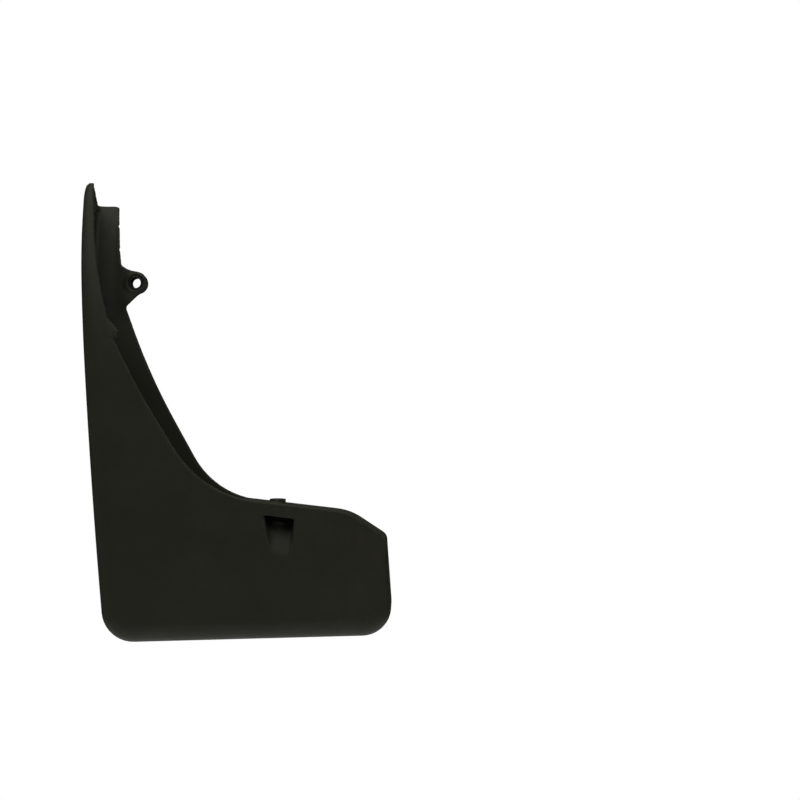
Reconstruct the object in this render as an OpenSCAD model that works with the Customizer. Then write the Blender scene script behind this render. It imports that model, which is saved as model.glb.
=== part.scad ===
/* [Overall] */
// Depth from the panel's face to the open back
block_d = 54; // [50:1:58]
// Moulded wall thickness
wall = 3; // [2.6:0.1:3.4]
// Outward lean of the shelf and inboard walls, degrees
draft = 1; // [1:0.5:4]
// Radius of the roll along the bottom edge
bottom_roll = 18; // [12:1:20]

/* [Finger] */
// Height where the finger starts to curve back
curve_z = 197; // [190:1:204]
// Radius of the finger's face, seen from the side
curve_r = 450; // [440:5:470]
// Height of the finger's tip
tip_z = 372; // [370:1:374]
// Height of the flange's top corner
flange_top_z = 358; // [354:1:360]

/* [Ear] */
// Radius of the hole through the ear bush
ear_hole_r = 4.2; // [4:0.1:4.4]
// Length of the ear boss and of its bush
ear_len = 15; // [14:1:18]

/* [Screw boss] */
// Radius of the hole through the boss bush
boss_hole_r = 3.3; // [3.1:0.1:3.5]
// Outer radius of the boss
boss_r = 6.5; // [6:0.5:8]
// Depth of the screw pocket at its ceiling
pocket_d = 24; // [22:1:26]

/* [Push rivets] */
// Radius of the centre pin
pin_r = 2; // [1.8:0.1:2.2]
// Length from the rivet's outer face to the tip of its shank
grip = 18; // [16:1:20]

/* [Hidden] */
$fn = 96;

plastic = [0.13, 0.13, 0.11];
steel = [0.35, 0.35, 0.36];
nylon = [0.08, 0.08, 0.08];
foam = [0.2, 0.2, 0.2];

// Heights and widths are measured from the flap's outboard bottom corner, and depth from the
// panel's face. The finished part is then moved so that the ear hole is the origin.
ear_x = 40.2;
ear_y = 59;
ear_t = 6;
ear_recess = 1;
ear_z = 292.3;
ear_r = 8.8;
ear_bush_r = 6;

boss_x = 162;
boss_y = 13;
boss_top_z = 115;
pocket_top_z = 101;
pocket_bottom_z = 70;
pocket_w = 24;
pocket_skin = 2.4;
boss_bush_r = 4.8;
boss_len = 13.5;
boss_web_l = 14;
boss_web_t = 3;

bottom_rise = 1.55;
bottom_z = -2.2;
shelf_slope = 6.7;
shelf_end_x = 219.5;
shelf_end_z = 103.6;
inboard_lean = 4.1;

rib_t = 2;
rib_d = 22;
rib_at = [56, 92, 128, 188, 218];
rib_mid = 46;
rib_high = 92;
rib_from = 18.6;
rib_to = 248;

hook_x = 31;
hook_y = 2.8;
hook_z = 249;
hook_r = 3.8;
hook_d = 7;

head_r = 8;
head_t = 2.2;
shank_r = 4;
pin_gap = 0.05;
pin_head_r = 4.2;
pin_head_t = 1;
pin_proud = 0.2;
pin_seat_gap = 0.4;
// Each push rivet: its place across and up the flange.
upper_at = [21, 228];
middle_at = [38, 186];
lower_at = [60, 148];

strip_t = 2;

flange_back_r = curve_r - block_d;
far = 400;

// A closed outline whose corners [x, z, radius] are rounded with true tangent arcs.
function unit(v) = v / norm(v);
function corner(a, b, c, n) =
    let (p = [b[0], b[1]], u = unit([a[0], a[1]] - p), v = unit([c[0], c[1]] - p))
    let (half = acos(u * v) / 2, r = b[2])
    let (centre = p + unit(u + v) * r / sin(half))
    let (s = p + u * r / tan(half) - centre, e = p + v * r / tan(half) - centre)
    let (a0 = atan2(s[1], s[0]), turn = atan2(s[0] * e[1] - s[1] * e[0], s * e))
    r == 0 ? [p] : [for (i = [0:n]) centre + r * [cos(a0 + turn * i / n), sin(a0 + turn * i / n)]];
function rounded(pts) =
    let (n = len(pts))
    [for (i = [0:n - 1]) each corner(pts[(i + n - 1) % n], pts[i], pts[(i + 1) % n], 8)];

// Height of the shelf's back rim at a place across the flap.
function shelf_z(x) = shelf_end_z + (shelf_end_x - x) * tan(shelf_slope);

// The outboard side, the bottom, the inboard side and the chamfer, inset by a wall or by nothing.
function outer_side(inset) = [
    [inset, tip_z + 20, 0],
    [inset, 314, 1900],
    [8.4 + inset, 146.7, 5900],
    [21.2 + inset, -0.8 + inset, 26 - inset],
    [254.8 - inset, 5.4 + inset, 24 - inset],
    [249.2 - inset, 83.4 - inset / 2, 4],
    [shelf_end_x - inset / 3, shelf_end_z - inset, 60]];

// The panel's face: its free edge sweeps up from the shelf into the finger.
function face_outline() = rounded(concat(
    [[2.4, tip_z, 0.8], [0, tip_z - 6, 4]],
    [for (i = [1:6]) outer_side(0)[i]],
    [[103.8, shelf_z(103.8), 90], [51, 203, 600], [29.4, 247, 6],
     [14.8, 301.7, 350], [9.6, tip_z, 1.5]]));

// The outer faces of the side walls. The concave side is left to the core to open.
function rim_outline() = rounded(concat(
    outer_side(0),
    [[127, shelf_z(127), 1], [110, 80, 1], [40, 150, 1], [7, 330, 1], [7, tip_z + 20, 0]]));

// The inner faces of the side walls. Past the shelf's end it opens into the channel.
function core_outline() = rounded(concat(
    outer_side(wall),
    [[131, shelf_z(131) - wall, 0], [131, 125, 0], [60, 200, 1], [20, 330, 1], [20, tip_z + 20, 0]]));

// The flange behind the channel, down to its tie with the shelf.
function flange_outline() = rounded([
    [1, flange_top_z + 20, 0], [1, 314, 1500], [9.4, 150, 600], [14.2, 90, 1],
    [60, 90, 20], [100, 93, 20], [150, 104, 1], [150, shelf_z(150) - 0.6, 1],
    [107.2, shelf_z(107.2), 69], [53.2, 215, 600], [32.6, 271, 4], [24.5, 330, 60],
    [19.5, flange_top_z + 20, 0]]);

// The plate that closes the tray off from the channel above it.
function floor_outline() = [
    [14, 93], [98, 95], [131, 111], [134, 111.4], [134, 113], [129, 113.2], [97, 98], [14, 96]];

// The ear's outline: it runs from the flange to the boss round the hole.
function ear_outline() = rounded([
    [20, 304, 1], [26, 309, 2], [33.5, 302.3, 5], [ear_x + 2, 300, 0],
    [ear_x + 2, 285, 0], [33, 272.5, 5], [31, 262, 1], [20, 262, 1]]);

// A surface of the finger seen from the side, at a depth behind the panel's face.
function side_line(depth) = concat(
    [[depth, -20], [depth, curve_z]],
    [for (i = [1:12]) let (a = 27 * i / 12, r = curve_r - depth)
        [curve_r - r * cos(a), curve_z + r * sin(a)]]);
function reversed(pts) = [for (i = [len(pts) - 1:-1:0]) pts[i]];

module deep(depth) {
    translate([0, depth, 0])
        rotate([90, 0, 0])
            linear_extrude(depth)
                children();
}

module across(width) {
    rotate([90, 0, 90])
        linear_extrude(width)
            children();
}

module along_y(x, y, z) {
    translate([x, y, z])
        rotate([-90, 0, 0])
            children();
}

module in_frame() {
    translate([-ear_x, -ear_y, -ear_z])
        children();
}

// The band between two depths, which follows the finger's curve.
module band(front, back) {
    translate([-10, 0, 0])
        across(far)
            polygon(concat(side_line(front), reversed(side_line(back))));
}

// Everything behind the roll along the bottom edge.
module roll_block(inset) {
    r = bottom_roll - inset;
    translate([-30, 0, bottom_z])
        rotate([0, -bottom_rise, 0])
            across(far)
                polygon(concat(
                    [[inset - 2, far + 100], [inset - 2, bottom_roll + 3]],
                    [for (i = [0:8]) let (a = 186 + 84 * i / 8)
                        [bottom_roll + r * cos(a), bottom_roll + r * sin(a)]],
                    [[200, inset], [200, far + 100]]));
}

// The waste above a wall that leans outward from the face to the back.
module lean_waste(x, z, slope, inset) {
    translate([x, block_d + 2, z])
        rotate([0, slope, 0])
            translate([0, 0, -inset])
                rotate([draft, 0, 0])
                    translate([-90, -90, 0])
                        cube([180, 110, 40]);
}

module lean_wastes(inset) {
    intersection() {
        lean_waste(178, shelf_z(178), shelf_slope, inset);
        translate([138, -60, 60]) cube([200, 200, 100]);
    }
    intersection() {
        lean_waste(251.3, 54, 90 - inboard_lean, inset);
        translate([200, -60, -20]) cube([100, 200, 160]);
    }
}

module side_walls() {
    difference() {
        intersection() {
            deep(140) polygon(rim_outline());
            band(0, block_d);
            roll_block(0);
        }
        core();
        lean_wastes(0);
        top_waste();
    }
}

// The hollow inside the walls, open at the back.
module core() {
    difference() {
        intersection() {
            deep(160) polygon(core_outline());
            band(wall, 150);
            roll_block(wall);
        }
        lean_wastes(wall);
    }
}

// The finger's end slants from the tip down to the flange's top.
module top_waste() {
    translate([-10, 0, 0]) across(60)
        polygon([[33, tip_z], [86, flange_top_z], [140, flange_top_z], [140, 460], [0, 460], [0, tip_z]]);
}

module panel() {
    difference() {
        intersection() {
            deep(80) polygon(face_outline());
            band(0, wall);
            roll_block(0);
        }
        lean_wastes(0);
    }
}

module flange() {
    difference() {
        intersection() {
            deep(140) polygon(flange_outline());
            band(block_d - wall, block_d);
        }
        top_waste();
    }
}

module ear() {
    translate([0, ear_y - ear_recess, 0]) deep(ear_t) polygon(ear_outline());
    along_y(ear_x, ear_y - ear_recess, ear_z) cylinder(r = ear_r, h = ear_len + ear_recess);
}

// The screw pocket: a ramp that is flush at the bottom and deep under the boss.
module pocket_wedge(profile, width) {
    translate([boss_x, 0, pocket_top_z])
        rotate([0, shelf_slope, 0])
            translate([-width / 2, 0, -pocket_top_z])
                across(width)
                    polygon(profile);
}

module pocket_shell() {
    back = pocket_d + pocket_skin;
    pocket_wedge([[0.5, pocket_bottom_z - 4], [back, pocket_top_z - 5], [back, pocket_top_z + 6.2],
                  [0.5, pocket_top_z + 4.8]], pocket_w + 2 * pocket_skin);
}

module pocket_hollow() {
    pocket_wedge([[-1, pocket_bottom_z - 1.3], [pocket_d, pocket_top_z - 3], [pocket_d, pocket_top_z],
                  [-1, pocket_top_z]], pocket_w);
}

module screw_boss() {
    translate([boss_x, boss_y, pocket_top_z + 1]) cylinder(r = boss_r, h = boss_top_z - pocket_top_z - 1);
    translate([boss_x - boss_web_l, boss_y - boss_web_t / 2, 106]) cube([boss_web_l, boss_web_t, 6.5]);
}

module channel_floor() {
    translate([0, wall - 0.5, 0]) deep(block_d - wall) polygon(floor_outline());
}

// A stiffening rib that follows the rolled bottom.
module rib(x) {
    translate([x, 0, (x - 50) * tan(bottom_rise)])
        across(rib_t)
            polygon([[wall - 0.5, 13], [8, 5], [14, 1.8], [rib_d, 1.6], [rib_d, rib_high], [wall - 0.5, rib_high]]);
}

module ribs() {
    for (x = rib_at)
        rib(x);
    translate([rib_from, wall - 0.5, rib_mid]) cube([rib_to - rib_from, rib_d - wall, rib_t]);
}

module hook() {
    translate([hook_x - 6, hook_y, hook_z - 4]) cube([hook_d, hook_d, 7.5]);
    along_y(hook_x, hook_y, hook_z) cylinder(r = hook_r, h = hook_d);
}

module rivet_hole(at) {
    along_y(at[0], 30, at[1]) cylinder(r = shank_r, h = 60);
}

module flap_moulding() {
    color(plastic)
        in_frame()
            difference() {
                union() {
                    side_walls();
                    panel();
                    flange();
                    channel_floor();
                    ear();
                    pocket_shell();
                    screw_boss();
                    ribs();
                    hook();
                }
                pocket_hollow();
                translate([boss_x, boss_y, 90]) cylinder(r = boss_bush_r, h = 40);
                along_y(ear_x, ear_y - 5, ear_z) cylinder(r = ear_bush_r, h = 40);
                rivet_hole(upper_at);
                rivet_hole(middle_at);
                rivet_hole(lower_at);
            }
}

module bush(outer_r, inner_r, length) {
    difference() {
        cylinder(r = outer_r, h = length);
        translate([0, 0, -1]) cylinder(r = inner_r, h = length + 2);
    }
}

module ear_bush() {
    color(steel)
        in_frame()
            along_y(ear_x, ear_y, ear_z)
                bush(ear_bush_r, ear_hole_r, ear_len);
}

module boss_bush() {
    color(steel)
        in_frame()
            translate([boss_x, boss_y, boss_top_z - boss_len])
                bush(boss_bush_r, boss_hole_r, boss_len);
}

// Depth of the flange's back at the top of a rivet's head, which is where the head rests.
function head_rest(at) =
    let (up = max(at[1] + head_r - curve_z, 0))
    curve_r - sqrt(flange_back_r * flange_back_r - up * up);

// A grommet body: head against the flange's back, shank forward into the channel.
module rivet_body(at) {
    color(nylon)
        in_frame()
            along_y(at[0], head_rest(at) + head_t, at[1])
                rotate([180, 0, 0])
                    difference() {
                        union() {
                            cylinder(r = head_r, h = head_t);
                            cylinder(r = shank_r, h = grip);
                        }
                        translate([0, 0, -1]) cylinder(r = pin_r + pin_gap, h = grip + 2);
                        translate([0, 0, -1])
                            cylinder(r = pin_head_r + pin_seat_gap, h = 1 + pin_head_t - pin_proud);
                    }
}

module rivet_pin(at) {
    color(nylon)
        in_frame()
            along_y(at[0], head_rest(at) + head_t + pin_proud, at[1])
                rotate([180, 0, 0]) {
                    cylinder(r = pin_head_r, h = pin_head_t);
                    cylinder(r = pin_r, h = grip - 1);
                }
}

module rivet_body_upper() { rivet_body(upper_at); }
module rivet_body_middle() { rivet_body(middle_at); }
module rivet_body_lower() { rivet_body(lower_at); }
module rivet_pin_upper() { rivet_pin(upper_at); }
module rivet_pin_middle() { rivet_pin(middle_at); }
module rivet_pin_lower() { rivet_pin(lower_at); }

// A foam strip on the panel's inner face, in the channel.
module channel_strip() {
    color(foam)
        in_frame()
            intersection() {
                band(wall, wall + strip_t);
                deep(80) polygon([[28, 172], [44, 172], [33, 228], [22, 228]]);
            }
}

flap_moulding();
ear_bush();
boss_bush();
rivet_body_upper();
rivet_pin_upper();
rivet_body_middle();
rivet_pin_middle();
rivet_body_lower();
rivet_pin_lower();
channel_strip();
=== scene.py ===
"""The mud flap's looks: a moulded shell, its bushes, push rivets and foam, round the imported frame."""
import math

import bmesh
import bpy
import numpy as np
from mathutils import Matrix, Vector


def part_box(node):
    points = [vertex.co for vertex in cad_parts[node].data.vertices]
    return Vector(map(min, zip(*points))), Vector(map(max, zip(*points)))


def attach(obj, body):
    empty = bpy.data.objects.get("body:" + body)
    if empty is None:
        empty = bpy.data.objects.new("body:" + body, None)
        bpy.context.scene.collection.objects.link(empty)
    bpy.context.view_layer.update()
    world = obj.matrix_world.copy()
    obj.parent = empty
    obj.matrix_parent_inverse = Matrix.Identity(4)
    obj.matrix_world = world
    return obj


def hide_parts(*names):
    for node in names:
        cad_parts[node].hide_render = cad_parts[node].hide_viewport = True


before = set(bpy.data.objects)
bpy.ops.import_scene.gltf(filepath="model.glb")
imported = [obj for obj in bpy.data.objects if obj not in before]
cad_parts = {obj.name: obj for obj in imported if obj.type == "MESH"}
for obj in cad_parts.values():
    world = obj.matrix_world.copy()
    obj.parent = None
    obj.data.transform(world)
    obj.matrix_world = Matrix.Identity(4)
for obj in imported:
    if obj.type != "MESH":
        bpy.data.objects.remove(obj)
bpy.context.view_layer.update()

MM = 0.001
# The flap's own axes, in millimetres: across from the outboard edge, deep from the panel's face,
# up from the outboard bottom corner. The frame's origin is the ear hole, at this place in them.
EAR = np.array([40.2, 59.0, 292.3])
EAR_BOSS_R = 8.8
EAR_BOSS_LONG = 14.8
EAR_BUSH_R = 6.0
EAR_HOLE_R = 4.2
EAR_BUSH_LONG = 15.0
EAR_PLATE_LEAN = 0.25

# The whole moulding: depth to its open back, wall, and the big roll round the bottom and outboard side.
DEEP = 54.0
WALL = 3.0
EDGE_ROLL = 1.7
BIG_ROLL = 18.0
INBOARD_ROLL = 6.7

# The finger curves back above this height, with this radius seen from the side.
CURVE_Z = 197.0
CURVE_R = 450.0
TIP_Z = 374.2

# The shelf slopes down to where the chamfer starts; the walls lean a little from face to back.
SHELF_RATE = math.tan(math.radians(6.7))
SHELF_END = (219.5, 103.6)
CHAMFER_END = (250.0, 83.4, 8)
WALL_LEAN = math.tan(math.radians(1.0))
SHELF_LEAN = -math.tan(math.radians(1.8))
BOTTOM_RATE = math.tan(math.radians(1.55))

# The screw boss stands on the shelf, over the ceiling of the pocket.
BOSS = (162.0, 13.0)
BOSS_TOP = 115.0
BOSS_R = 6.5
BOSS_BUSH_R = 4.8
BOSS_HOLE_R = 3.3
BOSS_BUSH_LONG = 13.5
CEILING = 101.0
POCKET_FOOT = 54.0
POCKET_RISE = 45.0
POCKET_DEEP = 20.5

RIB_HIGH = 93.0
RIB_DEEP = 22.0
RIB_HALF = 1.15
RIB_CROSS = 47.0
RIBS = (57.0, 93.0, 129.0, 189.0, 219.0)

RIVETS = {"upper": (21.0, 228.0), "middle": (38.0, 186.0), "lower": (60.0, 148.0)}
RIVET_HOLE_R = 4.05

# The camera stands in front of the face at this distance, and sees this width at the face's depth.
EYE = (260.7, 194.6)
EYE_AWAY = 1400
SEEN_WIDTH = 640
SENSOR = 36


def shelf_z(x):
    return SHELF_END[1] + (SHELF_END[0] - x) * SHELF_RATE


# ---------------------------------------------------------------- outlines

def rounded(corners, steps=10):
    """A closed outline from corners [x, z, radius], each rounded with a tangent arc."""
    points = []
    count = len(corners)
    for i, (x, z, radius) in enumerate(corners):
        here = np.array([x, z], float)
        u = np.array(corners[i - 1][:2], float) - here
        v = np.array(corners[(i + 1) % count][:2], float) - here
        u /= np.linalg.norm(u)
        v /= np.linalg.norm(v)
        half = math.acos(max(-1.0, min(1.0, float(u @ v)))) / 2
        if radius == 0 or half > math.radians(89.9):
            points.append(here)
            continue
        middle = (u + v) / np.linalg.norm(u + v)
        centre = here + middle * radius / math.sin(half)
        start = here + u * radius / math.tan(half) - centre
        end = here + v * radius / math.tan(half) - centre
        first = math.atan2(start[1], start[0])
        turn = math.atan2(start[0] * end[1] - start[1] * end[0], float(start @ end))
        for k in range(steps + 1):
            angle = first + turn * k / steps
            points.append(centre + radius * np.array([math.cos(angle), math.sin(angle)]))
    return np.array(points)


class Outline:
    """Signed distance to a closed outline, tabled on a fine grid; negative inside."""
    LOW = (-40.0, -40.0)
    HIGH = (300.0, 440.0)
    STEP = 0.5

    def __init__(self, points):
        xs = np.arange(self.LOW[0], self.HIGH[0], self.STEP)
        zs = np.arange(self.LOW[1], self.HIGH[1], self.STEP)
        gx, gz = np.meshgrid(xs, zs, indexing="ij")
        best = np.full(gx.shape, 1e9)
        inside = np.zeros(gx.shape, bool)
        for i in range(len(points)):
            ax, az = points[i - 1]
            bx, bz = points[i]
            dx = bx - ax
            dz = bz - az
            length = dx * dx + dz * dz
            if length < 1e-12:
                continue
            t = np.clip(((gx - ax) * dx + (gz - az) * dz) / length, 0, 1)
            best = np.minimum(best, (gx - ax - t * dx) ** 2 + (gz - az - t * dz) ** 2)
            if az != bz:
                crosses = (az > gz) != (bz > gz)
                inside ^= crosses & (gx < dx * (gz - az) / dz + ax)
        self.table = np.where(inside, -np.sqrt(best), np.sqrt(best))

    def __call__(self, x, z):
        i = np.clip((x - self.LOW[0]) / self.STEP, 0, self.table.shape[0] - 1.001)
        k = np.clip((z - self.LOW[1]) / self.STEP, 0, self.table.shape[1] - 1.001)
        i0 = i.astype(int)
        k0 = k.astype(int)
        across = i - i0
        up = k - k0
        t = self.table
        low = t[i0, k0] * (1 - across) + t[i0 + 1, k0] * across
        high = t[i0, k0 + 1] * (1 - across) + t[i0 + 1, k0 + 1] * across
        return low * (1 - up) + high * up


def side_outline():
    """Outboard side, bottom and inboard side; open above, where other outlines cut."""
    return rounded([(13.4, 412, 0), (0.9, 366, 47), (1.1, 314, 1300), (8.4, 146.7, 5900), (21.2, -1.9, 26),
                    (255.5, 4.4, 24), (223.6, 460, 0)])


def tray_outline():
    """The shelf, the chamfer and the line under the channel, over the flap's lower block."""
    return rounded([(-30, 96, 0), (-30, -30, 0), (257.9, -30, 0), CHAMFER_END,
                    (SHELF_END[0], SHELF_END[1], 46), (134, shelf_z(134), 8), (97, 97, 20), (60, 96, 1)])


def panel_edge_outline():
    """The free edge of the panel; the other sides lie well outside it, or inside the tray."""
    return rounded([(-30, 400, 0), (-30, -30, 0), (160, -30, 0), (160, 60, 0), (154, 104, 4),
                    (150, shelf_z(150) + 1.5, 2), (103.8, shelf_z(103.8) + 0.5, 88), (51, 203, 600),
                    (29.4, 247, 6), (14.8, 301.7, 350), (9.0, 380, 1)])


def flange_outline():
    return rounded([(1, 400, 0), (1, 314, 1500), (9.4, 150, 600), (14.2, 90, 1), (60, 90, 20), (100, 93, 20),
                    (150, 104, 1), (150, shelf_z(150) - 0.6, 1), (107.2, shelf_z(107.2), 69),
                    (53.2, 215, 600), (32.6, 271, 5), (25.6, 318, 120), (19.2, 400, 0)])


def ear_outline():
    return rounded([(4, 304, 1), (24, 309.5, 2), (32.5, 304.2, 6), (EAR[0] + 5.5, 299.2, 3),
                    (EAR[0] + 6.6, 286.4, 1), (32.6, 272.4, 3), (30, 268, 1), (24, 272.5, 1), (4, 272.5, 1)])


def hook_outline():
    return rounded([(24, 262, 0), (26.8, 259.5, 8), (34.7, 250.2, 2.2), (33.6, 243.9, 1.0), (24, 243.6, 0)])


# ---------------------------------------------------------------- the moulding as a distance field

def both(a, b, r):
    """Where a and b meet, with the outer corner rounded to r."""
    r = np.maximum(r, 1e-3)
    return np.minimum(np.maximum(a, b), -r) + np.hypot(np.maximum(a + r, 0), np.maximum(b + r, 0))


def either(a, b, r):
    """a and b joined, with a fillet of r between them."""
    return -both(-a, -b, r)


def smooth(t):
    t = np.clip(t, 0, 1)
    return t * t * (3 - 2 * t)


def brick(x, y, z, low, high, r):
    """A box with rounded edges."""
    qx = np.abs(x - (low[0] + high[0]) / 2) - (high[0] - low[0]) / 2 + r
    qy = np.abs(y - (low[1] + high[1]) / 2) - (high[1] - low[1]) / 2 + r
    qz = np.abs(z - (low[2] + high[2]) / 2) - (high[2] - low[2]) / 2 + r
    outside = np.sqrt(np.maximum(qx, 0) ** 2 + np.maximum(qy, 0) ** 2 + np.maximum(qz, 0) ** 2)
    return outside + np.minimum(np.maximum(qx, np.maximum(qy, qz)), 0) - r


def behind_face(y, z):
    """Depth behind the panel's face, which curves back up the finger."""
    up = np.maximum(z - CURVE_Z, 0)
    return CURVE_R - np.hypot(CURVE_R - y, up)


def roll_radius(x, z):
    """The big roll runs along the bottom and up the outboard side; the other edges are tighter."""
    bottom = 1 - smooth((z - 22) / 40)
    outboard = 1 - smooth((x - 60) / 60)
    inboard = smooth((x - 226) / 18) * (1 - smooth((z - 66) / 24))
    wide = (BIG_ROLL - EDGE_ROLL) * np.maximum(bottom, outboard)
    narrow = (INBOARD_ROLL - EDGE_ROLL) * inboard
    finger = smooth((z - 190) / 170)
    return (EDGE_ROLL + np.maximum(wide, narrow)) * (1 - 0.62 * finger)


def lean_of(x, z, s):
    """The inboard side leans outward to the back; the shelf and the chamfer fall a little."""
    top = smooth((z - 74) / 14)
    share = smooth((x - 128) / 22) * smooth((z - 14) / 40)
    return share * (WALL_LEAN + (SHELF_LEAN - WALL_LEAN) * top) * (DEEP - s)


def pocket_hollow(x, y, z):
    """The screw pocket: flush at its foot, deep under the ceiling, and narrower towards the foot."""
    below = CEILING - z
    ceiling = (x - BOSS[0]) * SHELF_RATE - below
    left = 152.0 + below * 0.19
    right = 175.8 - below * 0.07
    t = np.clip((z - POCKET_FOOT) / POCKET_RISE, 0, 1.2)
    across = np.clip(((x - BOSS[0]) / 12.0) ** 2, 0, 1)
    ramp = POCKET_DEEP * t ** 2.1 * (0.88 + 0.12 * across) - 1.8
    sides = np.maximum(left - x, x - right)
    depth = (y - ramp) * 0.76
    return both(both(sides, depth, 4.5), ceiling, 0.8)


def pocket_shell(x, y, z):
    """The wall round the pocket, as it shows from behind."""
    box = brick(x, y, z, (149.4, 0.6, 66), (178.2, 27.4, 110), 1.5)
    t = np.clip((z - 63) / 33.0, 0, 1.2)
    ramp = (y - 2.4 - 26.5 * t) * 0.74
    top = z - (shelf_z(x) - 3.6)
    return np.maximum(np.maximum(box, ramp), top)


def ribs(x, y, z, s):
    """Tapered stiffening ribs: five upright and one across."""
    half = RIB_HALF - 0.012 * np.clip(s - WALL, 0, RIB_DEEP)
    upright = np.full(np.broadcast(x, y, z).shape, 1e3)
    for at in RIBS:
        upright = np.minimum(upright, np.abs(x - at) - half)
    grid = either(upright, np.abs(z - RIB_CROSS) - half, 1.2)
    grid = both(grid, s - RIB_DEEP, 0.6)
    bottom = 0.6 + (x - 50) * BOTTOM_RATE
    return np.maximum(np.maximum(grid, z - RIB_HIGH), bottom - z)


def tray_field(tray, s, roll):
    """The lower block: a shell behind the face, open at the back. Gives the shell and its outer form."""
    body = both(tray, -s, roll)
    core = both(tray + WALL, WALL - s, np.maximum(roll - WALL, 1.5))
    shell = both(body, -core, 0.9)
    return both(shell, s - DEEP, 0.9), body


def flange_field(x, y, z, s):
    """The flange behind the channel; the ear grows out of it and leans back towards its top."""
    ear = smooth((x - 20) / 16) * smooth((z - 258) / 26)
    plate = y - EAR[1] - 0.8 - (z - EAR[2]) * EAR_PLATE_LEAN
    front = (1 - ear) * (DEEP - WALL - s) - ear * plate
    back = (1 - ear) * (s - DEEP) + ear * (plate - WALL - 1)
    return both(either(FLANGE(x, z), EAR_PAD(x, z), 1.2), np.maximum(front, back), 1.0)


def finger_field(x, y, z, s, rim, roll):
    """Panel, outboard wall and flange, with the thin gusset that ties the panel's tip to the flange."""
    finger = both(rim, -s, roll)
    hollow = both(rim + WALL, WALL - s, np.maximum(roll - WALL, 1.5))
    panel = both(finger, -hollow, 0.9)
    panel = both(panel, PANEL_EDGE(x, z), 1.4)
    panel = both(panel, s - DEEP, 0.9)
    gusset = np.maximum(x - 9.2 + (y - 38) * 0.094, 347 + (y - 40) * 0.21 - z)
    gusset = both(np.maximum(finger, s - DEEP), gusset, 0.8)
    channel = either(np.minimum(panel, gusset), flange_field(x, y, z, s), 3.5)
    end = ((y - 33) * 15 + (z - TIP_Z) * 53) / 55.1
    return both(channel, end, 1.0)


def boss_field(x, y, z, boss_ring):
    """The screw boss above the pocket, and its web."""
    tower = both(boss_ring - BOSS_R, np.maximum(z - BOSS_TOP, CEILING + 1 - z), 0.5)
    web_top = BOSS_TOP - 1.0 - (BOSS[0] - 5 - x) * 0.42
    web = np.maximum(np.abs(y - BOSS[1]) - 1.4, np.maximum(z - web_top, np.maximum(x - BOSS[0], 146 - x)))
    return either(tower, np.maximum(web, 104 - z), 1.0)


def moulding(x, y, z):
    s = behind_face(y, z)
    roll = roll_radius(x, z)
    rim = RIM(x, z)
    tray = np.maximum(rim, TRAY(x, z)) + lean_of(x, z, s)
    shell, body = tray_field(tray, s, roll)
    result = np.minimum(shell, finger_field(x, y, z, s, rim, roll))

    ear_ring = np.hypot(x - EAR[0], z - EAR[2])
    middle = EAR[1] + 0.2 + EAR_BOSS_LONG / 2
    ear_boss = both(ear_ring - EAR_BOSS_R, np.abs(y - middle) - EAR_BOSS_LONG / 2, 1.4)
    result = either(result, ear_boss, 3.0)
    hook = both(HOOK(x, z), np.abs(s - 3.6) - 3.2, 1.8)
    result = either(result, hook, 1.2)

    # the ribs stop short of the tray's outer form
    result = either(result, np.maximum(ribs(x, y, z, s), body + 1.2), 1.2)
    result = either(result, pocket_shell(x, y, z), 1.2)
    boss_ring = np.hypot(x - BOSS[0], y - BOSS[1])
    result = either(result, boss_field(x, y, z, boss_ring), 1.5)

    # openings
    result = both(result, -pocket_hollow(x, y, z), 1.6)
    result = both(result, np.minimum(BOSS_BUSH_R - boss_ring, z - 96), 0.3)
    result = both(result, EAR_BUSH_R - ear_ring, 0.5)
    for across, up in RIVETS.values():
        hole = np.minimum(RIVET_HOLE_R - np.hypot(x - across, z - up), y - 30)
        result = both(result, hole, 0.3)
    return result


# ---------------------------------------------------------------- from field to mesh

def grid_line(low, high, step, fine=()):
    """Grid places from low to high, closer together inside the given stretches."""
    places = [low]
    while places[-1] < high:
        near = any(a <= places[-1] <= b for a, b in fine)
        places.append(places[-1] + (step * 0.55 if near else step))
    return np.array(places)


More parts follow.
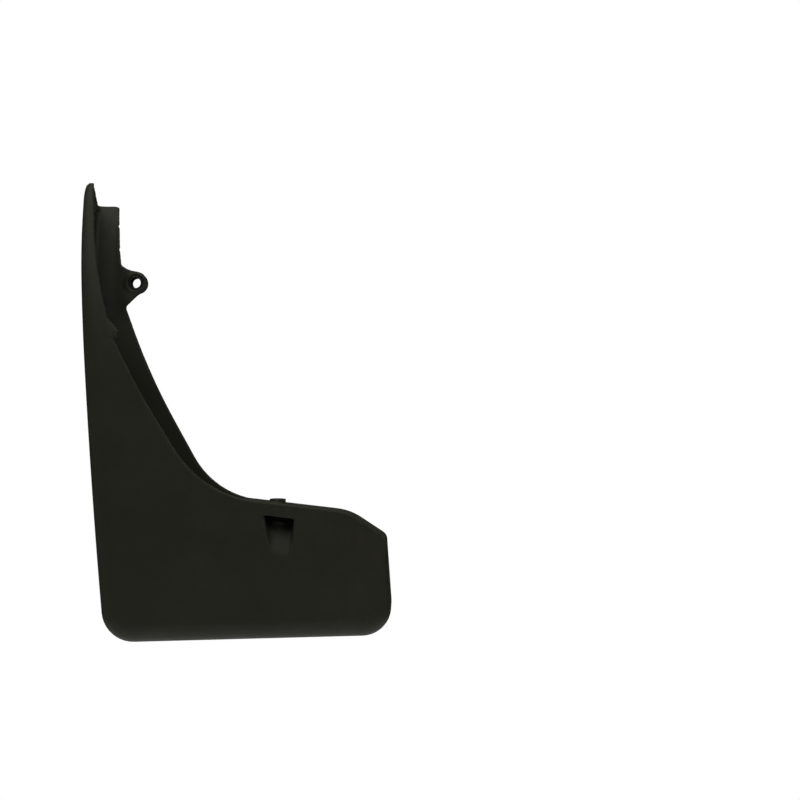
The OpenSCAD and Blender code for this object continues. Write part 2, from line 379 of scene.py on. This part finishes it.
def surface_nets(field, xs, ys, zs):
    """One vertex in each cell that the surface crosses, and a quad across each grid edge that it cuts."""
    inside = field < 0
    nx, ny, nz = field.shape
    total = np.zeros((nx - 1, ny - 1, nz - 1, 3), np.float32)
    count = np.zeros((nx - 1, ny - 1, nz - 1), np.float32)
    corners = [(i, j, k) for i in (0, 1) for j in (0, 1) for k in (0, 1)]
    for a in corners:
        for axis in range(3):
            if a[axis]:
                continue
            b = list(a)
            b[axis] = 1
            fa = field[a[0]:nx - 1 + a[0], a[1]:ny - 1 + a[1], a[2]:nz - 1 + a[2]]
            fb = field[b[0]:nx - 1 + b[0], b[1]:ny - 1 + b[1], b[2]:nz - 1 + b[2]]
            cut = (fa < 0) != (fb < 0)
            t = np.where(cut, fa / np.where(cut, fa - fb, 1), 0)
            count += cut
            for c in range(3):
                total[..., c] += np.where(cut, a[c] + (t if c == axis else 0), 0)
    active = count > 0
    ids = np.full(active.shape, -1, np.int64)
    ids[active] = np.arange(active.sum())
    where = np.argwhere(active)
    spots = where + total[active] / count[active][:, None]
    points = np.stack([np.interp(spots[:, c], np.arange(len(line)), line)
                       for c, line in enumerate((xs, ys, zs))], 1)
    quads = []
    for axis in range(3):
        low = [slice(None)] * 3
        high = [slice(None)] * 3
        low[axis] = slice(0, -1)
        high[axis] = slice(1, None)
        cut = inside[tuple(low)] != inside[tuple(high)]
        spots = np.argwhere(cut)
        one, two = [c for c in range(3) if c != axis]
        spots = spots[(spots[:, one] > 0) & (spots[:, two] > 0)
                      & (spots[:, one] < field.shape[one] - 1) & (spots[:, two] < field.shape[two] - 1)]
        ring = []
        for d1, d2 in ((-1, -1), (0, -1), (0, 0), (-1, 0)):
            cell = spots.copy()
            cell[:, one] += d1
            cell[:, two] += d2
            ring.append(ids[cell[:, 0], cell[:, 1], cell[:, 2]])
        quad = np.stack(ring, 1)
        outward = inside[tuple(low)][tuple(spots.T)]
        flip = outward if axis != 1 else ~outward
        quad[~flip] = quad[~flip][:, ::-1]
        quads.append(quad)
    return points, np.concatenate(quads)


def gradient(field, points, eps=0.12):
    out = np.empty_like(points)
    for c in range(3):
        ahead = points.copy()
        behind = points.copy()
        ahead[:, c] += eps
        behind[:, c] -= eps
        out[:, c] = (field(*ahead.T) - field(*behind.T)) / (2 * eps)
    return out


def settle(field, points, quads, step, rounds):
    """Evens the mesh out along the surface and puts every vertex on it."""
    edges = np.concatenate([quads[:, [0, 1]], quads[:, [1, 2]], quads[:, [2, 3]], quads[:, [3, 0]]])
    share = np.bincount(edges.ravel(), minlength=len(points))
    for _ in range(rounds):
        mean = np.empty_like(points)
        for c in range(3):
            mean[:, c] = (np.bincount(edges[:, 0], points[edges[:, 1], c], len(points))
                          + np.bincount(edges[:, 1], points[edges[:, 0], c], len(points))) / share
        points = points + 0.4 * (mean - points)
        slope = gradient(field, points)
        size = np.maximum((slope ** 2).sum(1), 0.25)
        move = -field(*points.T)[:, None] * slope / size[:, None]
        far = np.linalg.norm(move, axis=1, keepdims=True)
        points = points + move * np.minimum(1, 0.6 * step / np.maximum(far, 1e-9))
    return points


def mesh_object(name, points, faces, normals=None):
    mesh = bpy.data.meshes.new(name)
    mesh.from_pydata([tuple(p) for p in points], [], [tuple(f) for f in faces])
    mesh.update()
    mesh.polygons.foreach_set("use_smooth", np.ones(len(mesh.polygons), bool))
    if normals is not None:
        mesh.normals_split_custom_set_from_vertices([tuple(n) for n in normals])
    piece = bpy.data.objects.new(name, mesh)
    bpy.context.scene.collection.objects.link(piece)
    return piece


RIM = Outline(side_outline())
TRAY = Outline(tray_outline())
PANEL_EDGE = Outline(panel_edge_outline())
FLANGE = Outline(flange_outline())
EAR_PAD = Outline(ear_outline())
HOOK = Outline(hook_outline())


def make_moulding():
    step = 1.86
    xs = grid_line(-4, 260, step, [(30, 50), (153, 171)])
    ys = grid_line(-4, 94, step, [(5, 21)])
    zs = grid_line(-6, 380, step, [(99, 117), (282, 303)])
    slabs = []
    for start in range(0, len(xs), 24):
        part = xs[start:start + 24]
        slabs.append(moulding(part[:, None, None], ys[None, :, None], zs[None, None, :]))
    field = np.concatenate(slabs)
    points, quads = surface_nets(field, xs, ys, zs)
    points = settle(moulding, points, quads, step, 3)
    slope = gradient(moulding, points)
    slope /= np.maximum(np.linalg.norm(slope, axis=1, keepdims=True), 1e-9)
    print("moulding mesh", len(points), "vertices", len(quads), "quads")
    return mesh_object("moulded_flap", (points - EAR) * MM, quads, slope)


# ---------------------------------------------------------------- materials

class Paint:
    """A Principled material, with short ways to add the nodes that drive it."""

    def __init__(self, name, colour, roughness, specular=0.5, metallic=0.0):
        self.material = bpy.data.materials.new(name)
        self.material.use_nodes = True
        tree = self.material.node_tree
        self.nodes = tree.nodes
        self.links = tree.links
        self.shader = tree.nodes["Principled BSDF"]
        self.place = self.nodes.new("ShaderNodeTexCoord").outputs["Object"]
        self.shader.inputs["Base Color"].default_value = (*colour, 1)
        self.shader.inputs["Roughness"].default_value = roughness
        self.shader.inputs["Specular IOR Level"].default_value = specular
        self.shader.inputs["Metallic"].default_value = metallic
        self.normal = None

    def stretched(self, scale):
        node = self.nodes.new("ShaderNodeMapping")
        node.inputs["Scale"].default_value = scale
        self.links.new(self.place, node.inputs["Vector"])
        return node.outputs["Vector"]

    def noise(self, scale, detail=3.0, place=None, roughness=0.5):
        node = self.nodes.new("ShaderNodeTexNoise")
        node.inputs["Scale"].default_value = scale
        node.inputs["Detail"].default_value = detail
        node.inputs["Roughness"].default_value = roughness
        self.links.new(place or self.place, node.inputs["Vector"])
        return node.outputs["Fac"]

    def cells(self, scale, feature="F1"):
        node = self.nodes.new("ShaderNodeTexVoronoi")
        node.feature = feature
        node.inputs["Scale"].default_value = scale
        self.links.new(self.place, node.inputs["Vector"])
        return node.outputs["Distance"]

    def ranged(self, value, low, high, out_low=0.0, out_high=1.0):
        node = self.nodes.new("ShaderNodeMapRange")
        node.interpolation_type = "SMOOTHSTEP"
        ends = (("From Min", low), ("From Max", high), ("To Min", out_low), ("To Max", out_high))
        for name, number in ends:
            node.inputs[name].default_value = number
        self.links.new(value, node.inputs["Value"])
        return node.outputs["Result"]

    def sum(self, a, b, how="ADD"):
        node = self.nodes.new("ShaderNodeMath")
        node.operation = how
        self.links.new(a, node.inputs[0])
        self.links.new(b, node.inputs[1])
        return node.outputs[0]

    def tint(self, colour, share):
        """Mixes a colour over what the base colour is so far."""
        node = self.nodes.new("ShaderNodeMix")
        node.data_type = "RGBA"
        base = self.shader.inputs["Base Color"]
        if base.is_linked:
            self.links.new(base.links[0].from_socket, node.inputs[6])
        else:
            node.inputs[6].default_value = base.default_value
        node.inputs[7].default_value = (*colour, 1)
        self.links.new(share, node.inputs[0])
        self.links.new(node.outputs[2], base)

    def rough(self, value):
        self.links.new(value, self.shader.inputs["Roughness"])

    def bump(self, height, distance, strength=1.0):
        node = self.nodes.new("ShaderNodeBump")
        node.inputs["Distance"].default_value = distance
        node.inputs["Strength"].default_value = strength
        self.links.new(height, node.inputs["Height"])
        if self.normal:
            self.links.new(self.normal, node.inputs["Normal"])
        self.normal = node.outputs["Normal"]
        self.links.new(self.normal, self.shader.inputs["Normal"])

    def edges(self, low, high):
        node = self.nodes.new("ShaderNodeNewGeometry")
        return self.ranged(node.outputs["Pointiness"], low, high)


def textured_plastic():
    """Black polypropylene with a fine spark-eroded grain, slightly cloudy, rubbed along its edges."""
    paint = Paint("textured_black_plastic", (0.0262, 0.0266, 0.0160), 0.6, 0.28)
    cloud = paint.noise(14, 4, roughness=0.6)
    paint.tint((0.0315, 0.0305, 0.0195), paint.ranged(cloud, 0.42, 0.68))
    speck = paint.noise(1500, 2)
    paint.tint((0.036, 0.036, 0.027), paint.ranged(speck, 0.56, 0.78, 0, 0.2))
    flow = paint.noise(22, 5, roughness=0.55)
    paint.tint((0.0205, 0.0215, 0.0140), paint.ranged(flow, 0.5, 0.75, 0, 0.5))
    worn = paint.sum(paint.edges(0.53, 0.60), paint.ranged(paint.noise(90, 4), 0.42, 0.62), "MULTIPLY")
    paint.tint((0.05, 0.05, 0.044), paint.ranged(worn, 0.1, 0.9, 0, 0.5))
    scuff = paint.noise(60, 6, roughness=0.7)
    smear = paint.ranged(scuff, 0.3, 0.7, 0.56, 0.64)
    paint.rough(smear)
    paint.bump(paint.noise(10, 2), 0.0006, 0.35)
    paint.bump(paint.cells(1300, "SMOOTH_F1"), 0.00007, 0.5)
    paint.bump(paint.noise(3200, 2), 0.00003, 0.4)
    return paint.material


def phosphated_steel():
    """Dark phosphated sleeve: turned lines round it, a little bright metal at its rims."""
    paint = Paint("dark_phosphated_steel", (0.045, 0.045, 0.046), 0.5, 0.4, 0.7)
    blotch = paint.noise(260, 4)
    paint.tint((0.028, 0.027, 0.026), paint.ranged(blotch, 0.4, 0.65))
    rust = paint.noise(520, 5, roughness=0.7)
    paint.tint((0.10, 0.05, 0.03), paint.ranged(rust, 0.62, 0.8, 0, 0.3))
    paint.tint((0.16, 0.16, 0.16), paint.edges(0.53, 0.64))
    paint.rough(paint.ranged(blotch, 0.3, 0.7, 0.34, 0.58))
    paint.bump(paint.noise(900, 3, paint.stretched((1, 6, 1))), 0.00003, 0.5)
    return paint.material


def moulded_nylon(name, colour, pale):
    """Black nylon: smoother than the flap, with a faint milky flow and rubbed rims."""
    paint = Paint(name, colour, 0.4, 0.5)
    paint.tint(pale, paint.ranged(paint.noise(180, 4), 0.4, 0.7, 0, 0.6))
    paint.tint((0.06, 0.06, 0.058), paint.edges(0.53, 0.64))
    paint.rough(paint.ranged(paint.noise(420, 4), 0.3, 0.7, 0.32, 0.5))
    paint.bump(paint.noise(2400, 2), 0.00003, 0.5)
    return paint.material


def closed_cell_foam():
    """Charcoal foam: open pores of about a millimetre, darkened inside with painted shade, over a soft,
    dusty skin.
    """
    paint = Paint("closed_cell_foam", (0.028, 0.028, 0.030), 0.92, 0.2)
    pore_shade_and_dents = paint.cells(1100)
    # painted shade: the pores are darkened towards their middles, where shade would fall in them; the same
    # mask also dents them as bump
    paint.tint((0.010, 0.010, 0.011), paint.ranged(pore_shade_and_dents, 0.12, 0.4, 0.9, 0))
    paint.tint((0.05, 0.05, 0.052), paint.ranged(paint.noise(300, 4), 0.5, 0.75, 0, 0.5))
    paint.rough(paint.ranged(paint.noise(300, 4), 0.3, 0.7, 0.82, 0.98))
    paint.bump(pore_shade_and_dents, 0.00025, 0.7)
    paint.bump(paint.noise(120, 3), 0.0004, 0.5)
    return paint.material


def floor_card():
    paint = Paint("pale_floor", (0.88, 0.88, 0.87), 0.7, 0.3)
    paint.shader.inputs["Emission Color"].default_value = (1, 1, 1, 1)
    paint.shader.inputs["Emission Strength"].default_value = 0.1
    paint.tint((0.84, 0.84, 0.83), paint.ranged(paint.noise(3, 4), 0.4, 0.7))
    paint.bump(paint.noise(700, 2), 0.0001, 0.3)
    return paint.material


# ---------------------------------------------------------------- small turned pieces

def at_design(x, y, z):
    """A place in the flap's own axes, as a place in the frame."""
    return Vector((x - EAR[0], y - EAR[1], z - EAR[2])) * MM


def lathe(name, profile, start, axis, gap=0.0, steps=96):
    """Turns a closed profile of [radius, along, fillet] round an axis; a gap leaves a split."""
    outline = rounded(profile, 4)
    turn = axis.to_track_quat("Z", "X")
    build = bmesh.new()
    rings = []
    count = steps + 1 if gap else steps
    for k in range(count):
        angle = gap / 2 + (2 * math.pi - gap) * k / steps
        ring = []
        for radius, along in outline:
            local = Vector((radius * math.cos(angle), radius * math.sin(angle), along))
            ring.append(build.verts.new(start + turn @ local * MM))
        rings.append(ring)
    size = len(outline)
    for k in range(steps):
        a = rings[k]
        b = rings[(k + 1) % count]
        for i in range(size):
            j = (i + 1) % size
            build.faces.new((a[i], a[j], b[j], b[i]))
    if gap:
        build.faces.new(rings[0])
        build.faces.new(reversed(rings[-1]))
    return finish_mesh(name, build)


def finish_mesh(name, build):
    bmesh.ops.remove_doubles(build, verts=build.verts, dist=1e-7)
    bmesh.ops.recalc_face_normals(build, faces=build.faces)
    mesh = bpy.data.meshes.new(name)
    build.to_mesh(mesh)
    build.free()
    mesh.polygons.foreach_set("use_smooth", np.ones(len(mesh.polygons), bool))
    mesh.set_sharp_from_angle(angle=math.radians(34))
    piece = bpy.data.objects.new(name, mesh)
    bpy.context.scene.collection.objects.link(piece)
    return piece


def block(size, place, turn):
    """A cutter: a box of the given size at a place, turned about its own middle."""
    build = bmesh.new()
    bmesh.ops.create_cube(build, size=1)
    for vertex in build.verts:
        vertex.co = place + turn @ Vector([vertex.co[c] * size[c] * MM for c in range(3)])
    return finish_mesh("cutter", build)


def carve(piece, cutters):
    """Cuts the cutters out of a piece and removes them."""
    for cutter in cutters:
        change = piece.modifiers.new("carve", "BOOLEAN")
        change.operation = "DIFFERENCE"
        change.solver = "EXACT"
        change.object = cutter
    graph = bpy.context.evaluated_depsgraph_get()
    mesh = bpy.data.meshes.new_from_object(piece.evaluated_get(graph))
    piece.modifiers.clear()
    piece.data = mesh
    for cutter in cutters:
        bpy.data.objects.remove(cutter)
    mesh.set_sharp_from_angle(angle=math.radians(34))


def stands_for(piece, node, body, material):
    piece.data.materials.clear()
    piece.data.materials.append(material)
    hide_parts(node)
    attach(piece, body)


BACKWARD = Vector((0, 1, 0))
FORWARD = Vector((0, -1, 0))
UPWARD = Vector((0, 0, 1))


def make_bushes(material):
    """Rolled sleeves, each with its seam."""
    seam = math.radians(5)
    ear = lathe("ear_sleeve",
                [[EAR_HOLE_R, 0, 0.4], [EAR_BUSH_R, 0, 0.5],
                 [EAR_BUSH_R, EAR_BUSH_LONG, 0.5], [EAR_HOLE_R, EAR_BUSH_LONG, 0.4]],
                at_design(*EAR), BACKWARD, seam)
    stands_for(ear, "ear_bush", "flap", material)
    low = BOSS_TOP - BOSS_BUSH_LONG
    boss = lathe("boss_sleeve",
                 [[BOSS_HOLE_R, 0, 0.35], [BOSS_BUSH_R, 0, 0.45],
                  [BOSS_BUSH_R, BOSS_BUSH_LONG, 0.45], [BOSS_HOLE_R, BOSS_BUSH_LONG, 0.35]],
                 at_design(*BOSS, low), UPWARD, seam)
    stands_for(boss, "boss_bush", "flap", material)


def head_back(node):
    """Depth of a rivet's outer face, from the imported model."""
    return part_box(node)[1][1]


def make_rivet(where, body_material, pin_material):
    across, up = RIVETS[where]
    outer = at_design(across, 0, up)
    outer.y = head_back("rivet_body_" + where)
    bore = 2.1
    body = lathe("push_rivet_" + where,
                 [[bore, 0.8, 0.1], [4.6, 0.8, 0.2], [4.6, 0, 0.3], [6.6, 0.2, 3], [8, 1.4, 0.7],
                  [8, 2.2, 0.2], [4, 2.2, 0.4], [3.9, 7.4, 0.6], [4.0, 12.2, 0.8], [4.0, 14.4, 1.2],
                  [2.7, 18, 0.4], [bore, 18, 0.2]],
                 outer, FORWARD)
    slits = []
    for angle in (45, 135):
        turn = Matrix.Rotation(math.radians(angle), 3, "Y")
        slits.append(block((1.1, 13, 12), outer + FORWARD * (6.4 + 6.5) * MM, turn))
    carve(body, slits)
    stands_for(body, "rivet_body_" + where, "flap", body_material)

    top = outer.copy()
    top.y = head_back("rivet_pin_" + where)
    pin = lathe("centre_pin_" + where,
                [[0, 0, 0], [3.2, 0.05, 1.5], [4.2, 0.4, 0.4], [4.2, 1, 0.2], [2, 1, 0.3], [2, 5, 0.2],
                 [1.8, 5.5, 0.3], [1.8, 7, 0.3], [2, 7.5, 0.2], [2, 14.8, 0.8], [1.1, 17, 0.3], [0, 17, 0]],
                top, FORWARD, steps=64)
    slots = []
    for angle in (0, 90):
        turn = Matrix.Rotation(math.radians(angle), 3, "Y")
        slots.append(block((0.9, 1.2, 5.0), top, turn))
    carve(pin, slots)
    stands_for(pin, "rivet_pin_" + where, "pin_" + where, pin_material)


STRIP = Outline(np.array([[28, 172], [44, 172], [33, 228], [22, 228]], float))


def foam_strip(x, y, z):
    s = behind_face(y, z)
    return both(STRIP(x, z), np.abs(s - WALL - 1) - 1, 0.45)


def make_strip(material):
    step = 0.8
    xs = np.arange(20, 47, step)
    ys = np.arange(0.5, 9, step)
    zs = np.arange(169, 232, step)
    field = foam_strip(xs[:, None, None], ys[None, :, None], zs[None, None, :])
    points, quads = surface_nets(field, xs, ys, zs)
    points = settle(foam_strip, points, quads, step, 2)
    slope = gradient(foam_strip, points)
    slope /= np.maximum(np.linalg.norm(slope, axis=1, keepdims=True), 1e-9)
    strip = mesh_object("foam_channel_strip", (points - EAR) * MM, quads, slope)
    stands_for(strip, "channel_strip", "flap", material)


# ---------------------------------------------------------------- scene

def area_light(name, place, aim, size, power, mirrored):
    light = bpy.data.lights.new(name, "AREA")
    light.shape = "SQUARE"
    light.size = size
    light.energy = power
    lamp = bpy.data.objects.new(name, light)
    bpy.context.scene.collection.objects.link(lamp)
    lamp.location = place
    lamp.rotation_euler = (aim - place).to_track_quat("-Z", "Y").to_euler()
    lamp.visible_camera = False
    lamp.visible_glossy = mirrored


def studio():
    """A light tent: broad soft cards all round, and a white ground that only the camera sees."""
    # The default transform would turn the white ground grey.
    bpy.context.scene.view_settings.view_transform = "Standard"
    middle = Vector((0.085, -0.03, -0.11))
    for name, away, size, power in (("top_light", (-0.35, -0.52, 1.5), 1.8, 20),
                                    ("left_light", (-1.6, -0.3, 0.2), 2.0, 2.4),
                                    ("right_light", (1.3, -0.7, 0.7), 1.2, 5),
                                    ("low_light", (0, -0.6, -1.5), 2.0, 1.2),
                                    ("front_light", (0, -2.2, 0), 2.4, 1.4),
                                    ("back_light", (0, 2.0, 0.3), 2.4, 60)):
        area_light(name, middle + Vector(away), middle, size, power, name != "back_light")
    world = bpy.data.worlds.new("white_tent")
    bpy.context.scene.world = world
    world.use_nodes = True
    ground = world.node_tree.nodes["Background"]
    ground.inputs["Color"].default_value = (1, 1, 1, 1)
    ground.inputs["Strength"].default_value = 1.0
    world.cycles_visibility.diffuse = False
    world.cycles_visibility.glossy = False


def floor():
    """A pale round card below the flap and below what the camera sees."""
    build = bmesh.new()
    bmesh.ops.create_cone(build, cap_ends=True, segments=128, radius1=0.8, radius2=0.8, depth=0.004)
    card = finish_mesh("floor", build)
    card.location = (0.085, 0, -0.645)
    card.data.materials.append(floor_card())


def camera():
    data = bpy.data.cameras.new("camera")
    data.sensor_width = SENSOR
    data.lens = SENSOR * EYE_AWAY / SEEN_WIDTH
    data.clip_end = 50
    eye = bpy.data.objects.new("camera", data)
    bpy.context.scene.collection.objects.link(eye)
    eye.location = at_design(EYE[0], -EYE_AWAY, EYE[1])
    eye.rotation_euler = (math.radians(90), 0, 0)
    bpy.context.scene.camera = eye


flap = make_moulding()
stands_for(flap, "flap_moulding", "flap", textured_plastic())
make_bushes(phosphated_steel())
rivet_nylon = moulded_nylon("rivet_nylon", (0.018, 0.018, 0.018), (0.03, 0.03, 0.031))
pin_nylon = moulded_nylon("pin_nylon", (0.024, 0.024, 0.025), (0.04, 0.04, 0.041))
for where in RIVETS:
    make_rivet(where, rivet_nylon, pin_nylon)
make_strip(closed_cell_foam())
studio()
floor()
camera()
